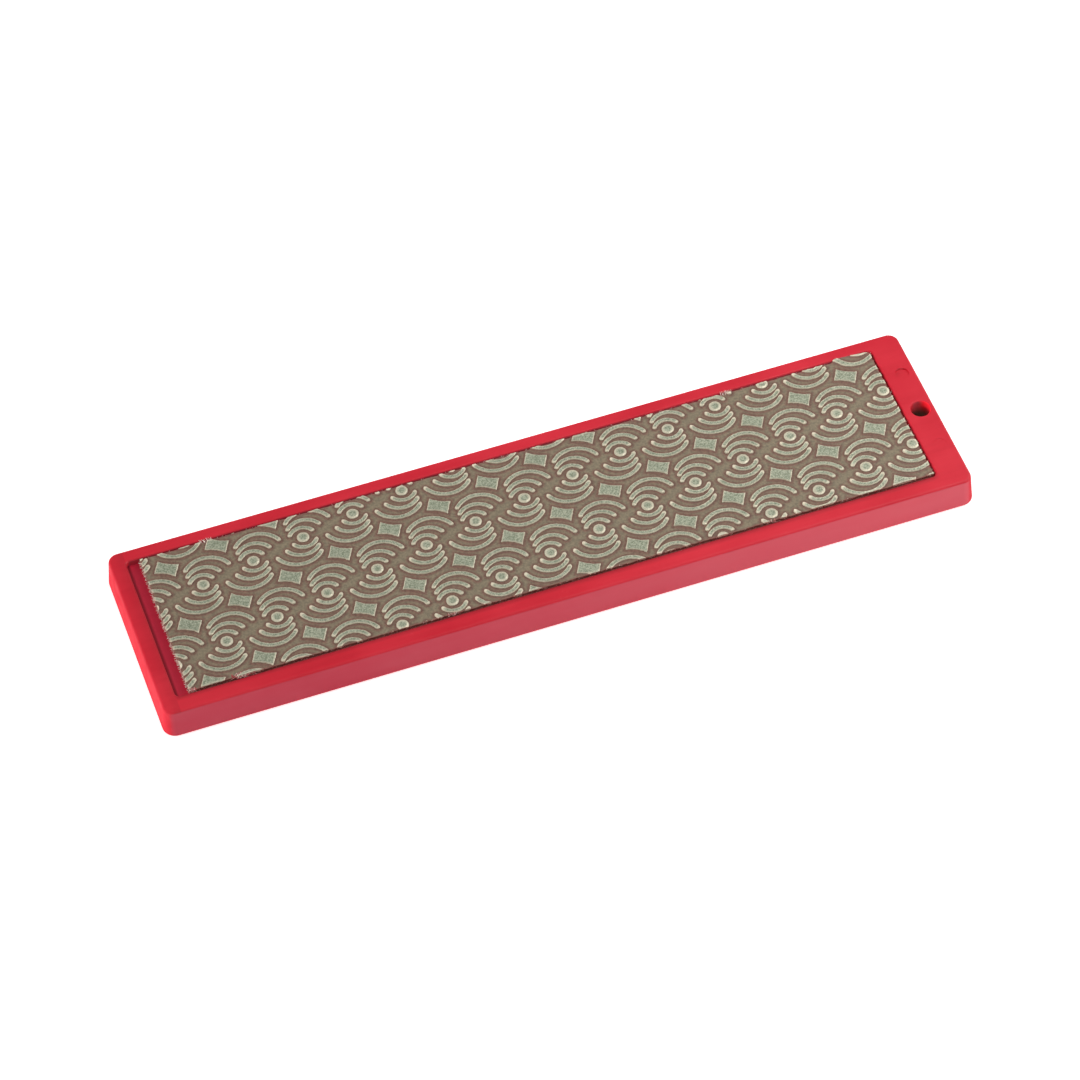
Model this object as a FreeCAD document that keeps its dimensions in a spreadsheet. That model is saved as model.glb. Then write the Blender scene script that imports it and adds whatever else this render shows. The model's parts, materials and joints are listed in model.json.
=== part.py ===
import FreeCAD, Part
import math
import os

import Sketcher

# Diamond stone for ski and snowboard edges: a moulded plastic plate with a shallow recess
# in its top face, and an abrasive pad bonded into that recess.
# Frame: origin at the middle of the plate's underside, +X along the plate towards the
# hanging hole, +Y across it, +Z up through the abrasive. Millimetres throughout.

DIMENSIONS = {
    # plate
    "plate_length": 100.0,
    "plate_width": 25.5,
    "plate_thickness": 4.0,
    "plate_corner_radius": 1.6,
    "side_draft_inset": 0.35,
    "rim_outer_round": 0.35,
    "underside_round": 0.2,
    # recess for the pad; each side is given by its distance from the origin
    "recess_left": 47.75,
    "recess_right": 45.8,
    "recess_front": 10.2,
    "recess_back": 10.7,
    "recess_corner_radius": 0.6,
    "recess_depth": 0.9,
    "recess_mouth_round": 0.25,
    # features at the plate's right end
    "hole_distance": 47.94,
    "hole_radius": 1.15,
    "hole_mouth_round": 0.18,
    "ejector_distance": 48.0,
    "ejector_spread": 5.92,
    "ejector_radius": 0.85,
    "ejector_back_depth": 0.18,
    "ejector_front_depth": 0.03,
    # abrasive pad: its outline, by distances from the origin, and its layers
    "pad_left": 46.1,
    "pad_right": 45.55,
    "pad_front": 9.9,
    "pad_back": 10.45,
    "adhesive_thickness": 0.1,
    "cloth_thickness": 0.4,
    "resin_thickness": 0.35,
    "island_height": 0.51,
    # slanted lattice that the islands repeat on, from the cell furthest left and forward
    "first_dot_x": -45.95,
    "first_dot_y": -32.57,
    "row_step_x": 6.51,
    "row_step_y": 1.354,
    "column_step_x": -0.186,
    "column_step_y": 8.873,
    "cells_in_row": 15,
    "cells_in_column": 6,
    # islands of one cell, measured from the middle of its dot
    "dot_radius": 0.73,
    "arc_line_width": 0.52,
    "arc_left_reach": 1.4,
    "inner_radius": 1.63,
    "inner_centre_x": -0.05,
    "inner_centre_y": -0.15,
    "inner_right_reach": 1.33,
    "middle_radius": 2.33,
    "middle_centre_x": 0.37,
    "middle_centre_y": 0.21,
    "middle_right_reach": 2.38,
    "outer_radius": 3.07,
    "outer_centre_x": 0.96,
    "outer_centre_y": 0.72,
    "outer_right_reach": 3.73,
    "lozenge_x": 3.35,
    "lozenge_y": -3.76,
    "lozenge_tip_x": 0.68,
    "lozenge_tip_y": 1.43,
    "lozenge_side_x": 1.55,
    "lozenge_side_y": 0.21,
    "lozenge_hollow_radius": 4.0,
}

START, END, CENTRE = 1, 2, 3
ORIGIN_POINT = (-1, 1)
X_AXIS, Y_AXIS = -1, -2
FORWARD, TURNED = 1.0, -1.0
SIDES = ("left", "right", "front", "back")
TINY = 1e-6

doc = FreeCAD.newDocument("edge_tuning_tool")


# ---------------------------------------------------------------- sheet of dimensions

class Dim:
    """A value together with the sheet expression that gives it."""

    def __init__(self, value, expression):
        self.value = value
        self.expression = expression

    def __add__(self, other):
        return Dim(self.value + other.value, f"({self.expression} + {other.expression})")

    def __sub__(self, other):
        return Dim(self.value - other.value, f"({self.expression} - {other.expression})")

    def __mul__(self, factor):
        return Dim(self.value * factor, f"({self.expression} * {factor})")

    def __neg__(self):
        return self * -1.0


def make_sheet():
    new_sheet = doc.addObject("Spreadsheet::Sheet", "Dimensions")
    for row, (name, value) in enumerate(DIMENSIONS.items(), start=1):
        new_sheet.set(f"A{row}", name)
        new_sheet.set(f"B{row}", str(value))
        new_sheet.setAlias(f"B{row}", name)
    doc.recompute()
    return new_sheet


sheet = make_sheet()


def dim(name):
    return Dim(float(sheet.get(name)), f"Dimensions.{name}")


TOP = dim("plate_thickness")
FLOOR = TOP - dim("recess_depth")
CLOTH_BASE = FLOOR + dim("adhesive_thickness")
RESIN_BASE = CLOTH_BASE + dim("cloth_thickness")


# ---------------------------------------------------------------- bodies and features

def new_body(label):
    body = doc.addObject("PartDesign::Body", label)
    body.Label = label
    body.AllowCompound = True
    return body


def new_sketch(body, name, **offsets):
    """A sketch parallel to the body's XY plane, moved along x, y and z by the offsets."""
    sketch = body.newObject("Sketcher::SketchObject", name)
    plane = next(f for f in body.Origin.OriginFeatures if f.Role == "XY_Plane")
    sketch.AttachmentSupport = [(plane, "")]
    sketch.MapMode = "FlatFace"
    for axis, offset in offsets.items():
        sketch.setExpression(f"AttachmentOffset.Base.{axis}", offset.expression)
    return sketch


def add_feature(body, kind, name, profile, length):
    feature = body.newObject(f"PartDesign::{kind}", name)
    feature.Profile = profile
    feature.setExpression("Length", length.expression)
    return feature


def add_pocket(body, name, profile, depth, upwards=False):
    """Cuts from the sketch, and makes sure that something was cut."""
    doc.recompute()
    volume_before = body.Shape.Volume
    pocket = add_feature(body, "Pocket", name, profile, depth)
    pocket.Reversed = upwards
    doc.recompute()
    if body.Shape.Volume > volume_before - TINY:
        raise RuntimeError(f"{name} cuts nothing")
    return pocket


def level_wires(shape, height):
    """Wires of the shape's flat faces at one level, the longest first."""
    faces = [
        face for face in shape.Faces
        if face.BoundBox.ZLength < TINY and abs(face.BoundBox.ZMin - height.value) < TINY
    ]
    wires = [wire for face in faces for wire in face.Wires]
    return sorted(wires, key=lambda wire: wire.Length, reverse=True)


def round_wire(body, name, height, rank, radius):
    """Rounds the edges of one wire at a level; rank 0 is its longest wire."""
    doc.recompute()
    wanted = level_wires(body.Shape, height)[rank].Edges
    edges = [
        f"Edge{number}"
        for number, edge in enumerate(body.Shape.Edges, start=1)
        if any(edge.isSame(other) for other in wanted)
    ]
    tip = body.Tip
    fillet = body.newObject("PartDesign::Fillet", name)
    fillet.Base = (tip, edges)
    fillet.setExpression("Radius", radius.expression)
    doc.recompute()


# ---------------------------------------------------------------- sketch geometry

def add_line(sketch, start, end, construction=False):
    segment = Part.LineSegment(FreeCAD.Vector(*start, 0), FreeCAD.Vector(*end, 0))
    return sketch.addGeometry(segment, construction)


def add_circle(sketch, centre, radius):
    circle = Part.Circle(FreeCAD.Vector(*centre, 0), FreeCAD.Vector(0, 0, 1), radius)
    return sketch.addGeometry(circle, False)


def add_arc(sketch, centre, radius, first, last):
    circle = Part.Circle(FreeCAD.Vector(*centre, 0), FreeCAD.Vector(0, 0, 1), radius)
    return sketch.addGeometry(Part.ArcOfCircle(circle, first, last), False)


def constrain(sketch, kind, *references):
    sketch.addConstraint(Sketcher.Constraint(kind, *references))


def drive(sketch, kind, name, size, *references):
    """A named constraint whose value follows the sheet."""
    index = sketch.addConstraint(Sketcher.Constraint(kind, *references, size.value))
    sketch.renameConstraint(index, name)
    sketch.setExpression(f"Constraints.{name}", size.expression)


def drive_coordinate(sketch, axis, name, size, geometry, point):
    """Holds a point's X or Y; the sheet keeps the sign, the constraint the distance."""
    if abs(size.value) < TINY:
        constrain(sketch, "PointOnObject", geometry, point, Y_AXIS if axis == "X" else X_AXIS)
    elif size.value > 0:
        drive(sketch, f"Distance{axis}", name, size, *ORIGIN_POINT, geometry, point)
    else:
        drive(sketch, f"Distance{axis}", name, -size, geometry, point, *ORIGIN_POINT)


def drive_point(sketch, name, x, y, geometry, point):
    drive_coordinate(sketch, "X", f"{name}_x", x, geometry, point)
    drive_coordinate(sketch, "Y", f"{name}_y", y, geometry, point)


def drive_sides(sketch, sides, distances):
    """Holds the front, right, back and left side at their distances from the origin."""
    left, right, front, back = distances
    drive_coordinate(sketch, "Y", "front_side", -front, sides[0], START)
    drive_coordinate(sketch, "X", "right_side", right, sides[1], START)
    drive_coordinate(sketch, "Y", "back_side", back, sides[2], START)
    drive_coordinate(sketch, "X", "left_side", -left, sides[3], START)


def draw_rectangle(sketch, distances):
    """A sharp rectangle; the distances are those of its left, right, front and back."""
    left, right, front, back = (distance.value for distance in distances)
    corners = [(-left, -front), (right, -front), (right, back), (-left, back)]
    sides = [add_line(sketch, corners[i], corners[(i + 1) % 4]) for i in range(4)]
    for i in range(4):
        constrain(sketch, ("Horizontal", "Vertical")[i % 2], sides[i])
        constrain(sketch, "Coincident", sides[i], END, sides[(i + 1) % 4], START)
    return sides


def draw_rounded_rectangle(sketch, distances, radius):
    """A rectangle with four equal round corners."""
    left, right, front, back = (distance.value for distance in distances)
    r = radius.value
    sides = [
        add_line(sketch, (r - left, -front), (right - r, -front)),
        add_line(sketch, (right, r - front), (right, back - r)),
        add_line(sketch, (right - r, back), (r - left, back)),
        add_line(sketch, (-left, back - r), (-left, r - front)),
    ]
    centres = ((right - r, r - front), (right - r, back - r), (r - left, back - r), (r - left, r - front))
    corners = []
    for i, centre in enumerate(centres):
        first = (i - 1) * math.pi / 2
        corners.append(add_arc(sketch, centre, r, first, first + math.pi / 2))
    for i in range(4):
        constrain(sketch, ("Horizontal", "Vertical")[i % 2], sides[i])
        constrain(sketch, "Tangent", sides[i], END, corners[i], START)
        constrain(sketch, "Tangent", corners[i], END, sides[(i + 1) % 4], START)
    for corner in corners[1:]:
        constrain(sketch, "Equal", corners[0], corner)
    drive(sketch, "Radius", "corner_radius", radius, corners[0])
    drive_sides(sketch, sides, distances)


# ---------------------------------------------------------------- backing plate

def make_backing_plate():
    body = new_body("backing_plate")
    half_length = dim("plate_length") * 0.5
    half_width = dim("plate_width") * 0.5
    outline = new_sketch(body, "plate_outline")
    draw_rounded_rectangle(
        outline, (half_length, half_length, half_width, half_width), dim("plate_corner_radius")
    )
    slab = add_feature(body, "Pad", "slab", outline, TOP)
    slab.setExpression(
        "TaperAngle", "-atan(Dimensions.side_draft_inset / Dimensions.plate_thickness)"
    )
    round_wire(body, "rim_outer_rounding", TOP, 0, dim("rim_outer_round"))
    underside = Dim(0.0, "0")
    round_wire(body, "underside_rounding", underside, 0, dim("underside_round"))

    recess = new_sketch(body, "recess_outline", z=TOP)
    draw_rounded_rectangle(
        recess, [dim(f"recess_{side}") for side in SIDES], dim("recess_corner_radius")
    )
    add_pocket(body, "recess", recess, dim("recess_depth"))
    round_wire(body, "recess_mouth_rounding", TOP, 1, dim("recess_mouth_round"))

    add_round_pocket(body, "hanging_hole", Dim(0.0, "0"), "hole", TOP)
    round_wire(body, "hole_top_rounding", TOP, -1, dim("hole_mouth_round"))
    round_wire(body, "hole_bottom_rounding", underside, -1, dim("hole_mouth_round"))
    for side, y in (("back", dim("ejector_spread")), ("front", -dim("ejector_spread"))):
        add_round_pocket(body, f"ejector_mark_{side}", y, "ejector", dim(f"ejector_{side}_depth"))
    return body


def add_round_pocket(body, name, y, kind, depth):
    """A round hole or mark, cut down from the plate's top face."""
    x = dim(f"{kind}_distance")
    radius = dim(f"{kind}_radius")
    sketch = new_sketch(body, f"{name}_outline", z=TOP)
    circle = add_circle(sketch, (x.value, y.value), radius.value)
    drive_point(sketch, "centre", x, y, circle, CENTRE)
    drive(sketch, "Radius", "radius", radius, circle)
    add_pocket(body, name, sketch, depth)


# ---------------------------------------------------------------- layers of the pad

def pad_sides():
    return [dim(f"pad_{side}") for side in SIDES]


def make_layer(label, base, thickness):
    """A flat sheet cut to the pad's outline."""
    body = new_body(label)
    outline = new_sketch(body, f"{label}_outline", z=base)
    drive_sides(outline, draw_rectangle(outline, pad_sides()), pad_sides())
    add_feature(body, "Pad", f"{label}_sheet", outline, thickness)
    return body


# ---------------------------------------------------------------- abrasive islands

def draw_dot(sketch):
    radius = dim("dot_radius")
    circle = add_circle(sketch, (0, 0), radius.value)
    constrain(sketch, "Coincident", circle, CENTRE, *ORIGIN_POINT)
    drive(sketch, "Radius", "dot_radius", radius, circle)


def draw_arc(sketch, ring, direction):
    """A stroke with round ends along a circle; TURNED turns it half round the dot."""
    radius = dim(f"{ring}_radius")
    half_line = dim("arc_line_width") * 0.5
    centre_x = dim(f"{ring}_centre_x") * direction
    centre_y = dim(f"{ring}_centre_y") * direction
    right_end = dim(f"{ring}_right_reach") * direction
    left_end = dim("arc_left_reach") * -direction

    middle = (centre_x.value, centre_y.value)
    turn = 0.0 if direction == FORWARD else math.pi
    first = turn + math.acos(direction * (right_end.value - centre_x.value) / radius.value)
    last = turn + math.acos(direction * (left_end.value - centre_x.value) / radius.value)
    outside = add_arc(sketch, middle, (radius + half_line).value, first, last)
    inside = add_arc(sketch, middle, (radius - half_line).value, first, last)
    caps = []
    for angle, start in ((first, first + math.pi), (last, last)):
        x = middle[0] + radius.value * math.cos(angle)
        y = middle[1] + radius.value * math.sin(angle)
        caps.append(add_arc(sketch, (x, y), half_line.value, start, start + math.pi))
    first_cap, last_cap = caps

    constrain(sketch, "Coincident", outside, CENTRE, inside, CENTRE)
    constrain(sketch, "Tangent", outside, START, first_cap, END)
    constrain(sketch, "Tangent", inside, START, first_cap, START)
    constrain(sketch, "Tangent", outside, END, last_cap, START)
    constrain(sketch, "Tangent", inside, END, last_cap, END)
    drive(sketch, "Radius", "outside_radius", radius + half_line, outside)
    drive(sketch, "Radius", "inside_radius", radius - half_line, inside)
    drive_point(sketch, "centre", centre_x, centre_y, outside, CENTRE)
    drive_coordinate(sketch, "X", "right_end", right_end, first_cap, CENTRE)
    drive_coordinate(sketch, "X", "left_end", left_end, last_cap, CENTRE)


def draw_lozenge(sketch):
    """Four corners about the origin; the two long sides are hollow arcs."""
    tip = (-dim("lozenge_tip_x"), dim("lozenge_tip_y"))
    right = (dim("lozenge_side_x"), dim("lozenge_side_y"))
    foot = (-tip[0], -tip[1])
    left = (-right[0], -right[1])
    radius = dim("lozenge_hollow_radius")
    edges = []
    corners = (tip, right, foot, left)
    for i, start in enumerate(corners):
        end = corners[(i + 1) % 4]
        first = (start[0].value, start[1].value)
        last = (end[0].value, end[1].value)
        long_side = i % 2 == 0
        edges.append(add_hollow(sketch, first, last, radius) if long_side else add_line(sketch, first, last))
    for i, (name, corner) in enumerate(zip(("tip", "right", "foot", "left"), corners)):
        constrain(sketch, "Coincident", edges[i - 1], END, edges[i], START)
        drive_point(sketch, name, *corner, edges[i], START)
    drive(sketch, "Radius", "back_hollow", radius, edges[0])
    drive(sketch, "Radius", "front_hollow", radius, edges[2])


def add_hollow(sketch, start, end, radius):
    """An arc from start to end whose centre lies to the left of that line."""
    chord = math.dist(start, end)
    height = math.sqrt(radius.value ** 2 - (chord / 2) ** 2)
    x = (start[0] + end[0]) / 2 - height * (end[1] - start[1]) / chord
    y = (start[1] + end[1]) / 2 + height * (end[0] - start[0]) / chord
    first = math.atan2(start[1] - y, start[0] - x)
    last = math.atan2(end[1] - y, end[0] - x)
    if last < first:
        last += 2 * math.pi
    return add_arc(sketch, (x, y), radius.value, first, last)


def add_lattice_lines(sketch):
    """Construction lines from the origin along the lattice's rows and columns."""
    for name in ("row", "column"):
        x = dim(f"{name}_step_x")
        y = dim(f"{name}_step_y")
        axis = add_line(sketch, (0, 0), (x.value, y.value), construction=True)
        constrain(sketch, "Coincident", axis, START, *ORIGIN_POINT)
        drive_point(sketch, f"{name}_step", x, y, axis, END)


def make_islands(label, draw, x=dim("first_dot_x"), y=dim("first_dot_y")):
    """One kind of island, repeated over the lattice and die-cut to the pad's outline."""
    body = new_body(label)
    outline = new_sketch(body, f"{label}_outline", x=x, y=y, z=RESIN_BASE)
    draw(outline)
    add_lattice_lines(outline)
    island = add_feature(body, "Pad", f"{label}_island", outline, dim("island_height"))
    doc.recompute()

    lattice = body.newObject("PartDesign::LinearPattern", f"{label}_lattice")
    lattice.Originals = [island]
    lattice.Direction = (outline, ["Axis0"])
    lattice.Direction2 = (outline, ["Axis1"])
    lattice.Mode = "Spacing"
    lattice.Mode2 = "Spacing"
    for name, suffix in (("row", ""), ("column", "2")):
        step_x = f"Dimensions.{name}_step_x"
        step_y = f"Dimensions.{name}_step_y"
        lattice.setExpression(f"Offset{suffix}", f"sqrt({step_x} ^ 2 + {step_y} ^ 2)")
        lattice.setExpression(f"Occurrences{suffix}", f"Dimensions.cells_in_{name}")
    body.Tip = lattice

    die = new_sketch(body, f"{label}_die", z=RESIN_BASE)
    drive_sides(die, draw_rectangle(die, pad_sides()), pad_sides())
    reach = dim("plate_length")
    outer = draw_rectangle(die, [reach] * 4)
    constrain(die, "Equal", outer[0], outer[1])
    for side, axis, name in ((outer[0], "Y", "reach_front"), (outer[3], "X", "reach_left")):
        drive_coordinate(die, axis, name, -reach, side, START)
    drive_coordinate(die, "X", "reach_right", reach, outer[1], START)
    add_pocket(body, f"{label}_die_cut", die, dim("island_height"), upwards=True)
    return body


def make_all_islands():
    bodies = [make_islands("abrasive_dots", draw_dot)]
    for ring in ("inner", "middle", "outer"):
        for place, direction in (("upper", FORWARD), ("lower", TURNED)):
            bodies.append(make_islands(
                f"{ring}_arcs_{place}",
                lambda sketch, ring=ring, direction=direction: draw_arc(sketch, ring, direction),
            ))
    lozenge_x = dim("first_dot_x") + dim("lozenge_x")
    lozenge_y = dim("first_dot_y") + dim("lozenge_y")
    bodies.append(make_islands("abrasive_lozenges", draw_lozenge, lozenge_x, lozenge_y))
    return bodies


def make_resin_fill(islands):
    """The resin sheet with a pocket for every island that comes up through it."""
    whole_sheet = make_layer("resin_sheet", RESIN_BASE, dim("resin_thickness"))
    all_islands = doc.addObject("Part::Compound", "all_islands")
    all_islands.Links = islands
    resin = doc.addObject("Part::Cut", "resin_fill")
    resin.Label = "resin_fill"
    resin.Base = whole_sheet
    resin.Tool = all_islands
    return resin


# ---------------------------------------------------------------- build, test and write

def check_document():
    doc.recompute()
    for item in doc.Objects:
        if "Invalid" in item.State or "Error" in item.State:
            raise RuntimeError(f"{item.Label} failed: {item.State}")


def write_parts(parts):
    os.makedirs("parts", exist_ok=True)
    for part in parts:
        if part.Shape.isNull() or not part.Shape.isValid():
            raise RuntimeError(f"{part.Label} has no valid shape")
        part.Shape.exportStep(f"parts/{part.Label}.step")
        box = part.Shape.BoundBox
        print(
            f"{part.Label}: {len(part.Shape.Solids)} solids, {part.Shape.Volume:.2f} mm3, "
            f"x {box.XMin:.2f}..{box.XMax:.2f} y {box.YMin:.2f}..{box.YMax:.2f} "
            f"z {box.ZMin:.2f}..{box.ZMax:.2f}"
        )


islands = make_all_islands()
parts = [
    make_backing_plate(),
    make_layer("adhesive_film", FLOOR, dim("adhesive_thickness")),
    make_layer("backing_cloth", CLOTH_BASE, dim("cloth_thickness")),
    make_resin_fill(islands),
    *islands,
]
check_document()
write_parts(parts)
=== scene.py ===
"""Looks of the edge tuning tool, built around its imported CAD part.

Blender's units are metres. Sizes here are in millimetres, in the part's frame, and turn into
metres where a mesh or a material is made. The CAD boxes place every layer, and the lattice
repeats the part's own.
"""

import json
import math

import bmesh
import bpy
import numpy as np
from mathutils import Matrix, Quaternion, Vector


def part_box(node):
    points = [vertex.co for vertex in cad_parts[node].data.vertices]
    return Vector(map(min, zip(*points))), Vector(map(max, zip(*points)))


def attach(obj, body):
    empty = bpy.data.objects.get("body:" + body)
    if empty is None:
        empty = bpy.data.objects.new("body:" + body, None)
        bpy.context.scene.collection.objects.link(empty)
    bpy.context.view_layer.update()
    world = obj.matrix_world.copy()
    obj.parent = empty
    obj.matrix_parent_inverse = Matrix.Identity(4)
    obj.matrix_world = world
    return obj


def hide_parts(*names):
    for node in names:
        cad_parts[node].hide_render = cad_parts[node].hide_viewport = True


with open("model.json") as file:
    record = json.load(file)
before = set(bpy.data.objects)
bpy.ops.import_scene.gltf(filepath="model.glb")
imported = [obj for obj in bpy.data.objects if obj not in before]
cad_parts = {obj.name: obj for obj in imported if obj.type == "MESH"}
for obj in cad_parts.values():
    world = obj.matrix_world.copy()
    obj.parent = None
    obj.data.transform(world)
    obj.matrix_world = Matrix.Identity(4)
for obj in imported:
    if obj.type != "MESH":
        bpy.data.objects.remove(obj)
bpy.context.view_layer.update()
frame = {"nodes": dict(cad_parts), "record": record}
MM = 0.001


def layer(node):
    """Lowest and highest corner of a CAD node, in millimetres."""
    low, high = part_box(node)
    return np.array(low) / MM, np.array(high) / MM


def hole_middle():
    """Where the record has the hanging hole, seen from above."""
    mount = next(m for m in frame["record"]["mounts"] if m["name"] == "hanging_hole")
    x, y, _ = mount["pos_m"]
    return Vector((x, y, 0)) / MM


# ---------------------------------------------------------------- driving sizes

PLATE_FOOT = layer("backing_plate")[0][2]
CLOTH_LOW, CLOTH_HIGH = layer("backing_cloth")
PAD_LOW, PAD_HIGH = layer("resin_fill")
RESIN_TOP = PAD_HIGH[2]
ISLAND_TOP = layer("abrasive_dots")[1][2]
HOLE_MIDDLE = hole_middle()
RECESS_LEFT = -47.75   # the plate's recess, in which the pad lies
RECESS_RIGHT = 45.8
RECESS_FRONT = -10.2

FIRST_DOT = np.array((-45.95, -32.57))
ROW_STEP = np.array((6.51, 1.354))
COLUMN_STEP = np.array((-0.186, 8.873))
CELLS = (15, 6)
CELL_REACH = 6.0       # a cell's islands stay this close to its dot
DOT_RADIUS = 0.73
HALF_LINE = 0.26       # half the width of a stroke
LEFT_REACH = 1.4       # how far left of the dot every stroke runs
RINGS = {  # radius, middle from the dot, and how far right of the dot it runs
    "inner": (1.63, (-0.05, -0.15), 1.33),
    "middle": (2.33, (0.37, 0.21), 2.38),
    "outer": (3.07, (0.96, 0.72), 3.73),
}
LOZENGE_MIDDLE = np.array((3.35, -3.76))
LOZENGE_TIP = np.array((-0.68, 1.43))
LOZENGE_SIDE = np.array((1.55, 0.21))
LOZENGE_SAG = 0.2      # how far a hollow side sags

STEP = 0.085           # spacing of the points along a stroke
RESIN_STEP = 0.1       # spacing of the resin's and the cloth's grid
CLOTH_STEP = 0.14
SUNK = 0.15            # how deep an island's foot stands in the resin
CROWN_DIP = 0.034      # how far an island's middle lies under the CAD's top
RIM_HEIGHT = 0.022     # how much higher the plating stands round it
ROLL_DROP = 0.07       # how far an island's very edge rolls over
WEAVE_PITCH = 0.42
FRAY = 0.055           # how far the cut edge wanders
FRAY_REACH = 0.35      # how far in from the edge it still does

# Painted highlight on the strokes' ends, strongest at the lower strokes' first end.
TIP_HIGHLIGHT = {1: (0.3, 0.3), -1: (1.0, 0.5)}  # at a stroke's first and last end; 1 is upper, -1 lower
TIP_REACH = 0.5        # how far along a stroke that painted highlight runs

LIFT_STARTS = (40.5, 41.3)   # along the back edge: where it comes up, sinks back and lies flat
LIFT_SINKS = (41.5, 44.6)
LIFT_ENDS = (44.6, 45.4)
LIFT_DEPTH = 1.3             # how wide the lifted strip is
LIFT_SINK = 0.75             # share of the lift that is lost where it sinks back
LIFT_LEAN = 0.42
LIFT_RISE = 0.08


# ---------------------------------------------------------------- small helpers

def noise(points, size, seed):
    """Seeded smooth noise from -1 to 1 over 2-D points, with features about `size` across."""
    side = 256
    table = np.random.default_rng(seed).uniform(-1, 1, (side, side))
    grid = np.asarray(points, float) / size
    cell = np.floor(grid).astype(int)
    blend = grid - cell
    blend = blend * blend * (3 - 2 * blend)
    x0, y0 = cell[..., 0] % side, cell[..., 1] % side
    x1, y1 = (x0 + 1) % side, (y0 + 1) % side
    front = table[x0, y0] * (1 - blend[..., 0]) + table[x1, y0] * blend[..., 0]
    back = table[x0, y1] * (1 - blend[..., 0]) + table[x1, y1] * blend[..., 0]
    return front * (1 - blend[..., 1]) + back * blend[..., 1]


def ramp(value, low, high):
    """Smooth step from 0 at low to 1 at high."""
    share = np.clip((np.asarray(value, float) - low) / (high - low), 0, 1)
    return share * share * (3 - 2 * share)


def add_attribute(mesh, name, numbers):
    """Stores one float per point on a mesh, for its material to read."""
    made = mesh.attributes.new(name, "FLOAT", "POINT")
    made.data.foreach_set("value", np.ravel(numbers).astype(np.float32))


def make_mesh(name, points, faces, **values):
    """A mesh object from millimetre points, with one float attribute per keyword."""
    mesh = bpy.data.meshes.new(name)
    mesh.from_pydata((np.asarray(points) * MM).tolist(), [], faces)
    for key, numbers in values.items():
        add_attribute(mesh, key, numbers)
    mesh.update()
    piece = bpy.data.objects.new(name, mesh)
    bpy.context.scene.collection.objects.link(piece)
    return piece


def smooth(piece, angle=math.radians(40)):
    """Smooth shading, with edges sharper than the angle kept."""
    piece.data.shade_smooth()
    piece.data.set_sharp_from_angle(angle=angle)


def put_on(piece, material, slot, *nodes):
    """Gives a piece its material and body, and hides the CAD nodes it stands for; its slot is not used."""
    piece.data.materials.clear()
    piece.data.materials.append(material)
    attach(piece, "root")
    if nodes:
        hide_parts(*nodes)


def tube_faces(rows, columns):
    """Quads round a closed tube of rows by columns of points, with an end cap on each end."""
    faces = []
    for i in range(rows - 1):
        for j in range(columns):
            k = (j + 1) % columns
            faces.append((i * columns + j, i * columns + k, (i + 1) * columns + k, (i + 1) * columns + j))
    faces.append(tuple(range(columns)))
    faces.append(tuple(reversed(range((rows - 1) * columns, rows * columns))))
    return faces


def closed_grid(wide, deep):
    """A grid's border points, and its quads with sides down to a foot ring and a bottom.

    The foot ring's points come after the grid's own, one below each border point.
    """
    border = list(range(wide))
    border += [i * wide + wide - 1 for i in range(1, deep)]
    border += [(deep - 1) * wide + j for j in range(wide - 2, -1, -1)]
    border += [i * wide for i in range(deep - 2, 0, -1)]
    faces = [(i * wide + j, i * wide + j + 1, (i + 1) * wide + j + 1, (i + 1) * wide + j)
             for i in range(deep - 1) for j in range(wide - 1)]
    ring = wide * deep
    for i, here in enumerate(border):
        after = (i + 1) % len(border)
        faces.append((here, ring + i, ring + after, border[after]))
    faces.append(tuple(ring + i for i in reversed(range(len(border)))))
    return border, faces


def repeated(faces, count, size):
    """The same faces for each of count copies that have size points."""
    return [tuple(size * i + v for v in face) for i in range(count) for face in faces]


# ---------------------------------------------------------------- the pad's cut edge

SIDES = (  # axis across the side, its place, outward sign, noise seed
    (0, PAD_LOW[0], -1, 11),
    (0, PAD_HIGH[0], 1, 12),
    (1, PAD_LOW[1], -1, 13),
    (1, PAD_HIGH[1], 1, 14),
)


def clip_to_pad(piece):
    """Cuts a piece off at the pad's four sides and closes the cuts."""
    bm = bmesh.new()
    bm.from_mesh(piece.data)
    for axis, place, sign, _ in SIDES:
        point = Vector((0, 0, 0))
        normal = Vector((0, 0, 0))
        point[axis] = place * MM
        normal[axis] = sign
        everything = bm.verts[:] + bm.edges[:] + bm.faces[:]
        bmesh.ops.bisect_plane(bm, geom=everything, plane_co=point, plane_no=normal,
                               clear_outer=True, dist=1e-8)
        rims = [e for e in bm.edges if e.is_boundary]
        if rims:
            bmesh.ops.edgeloop_fill(bm, edges=rims)
    bm.normal_update()
    bm.to_mesh(piece.data)
    bm.free()


def lift_back_edge(points):
    """Where the pad's back edge has come up near its right end, its top leans over the rim."""
    x, y, z = points.T
    share = ramp(x, *LIFT_STARTS) * (1 - LIFT_SINK * ramp(x, *LIFT_SINKS)) * (1 - ramp(x, *LIFT_ENDS))
    share = share * ramp(y, PAD_HIGH[1] - LIFT_DEPTH, PAD_HIGH[1]) * ramp(z, PAD_LOW[2], RESIN_TOP)
    points[:, 1] = y + LIFT_LEAN * share
    points[:, 2] = np.minimum(z + LIFT_RISE * share, ISLAND_TOP)


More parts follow.
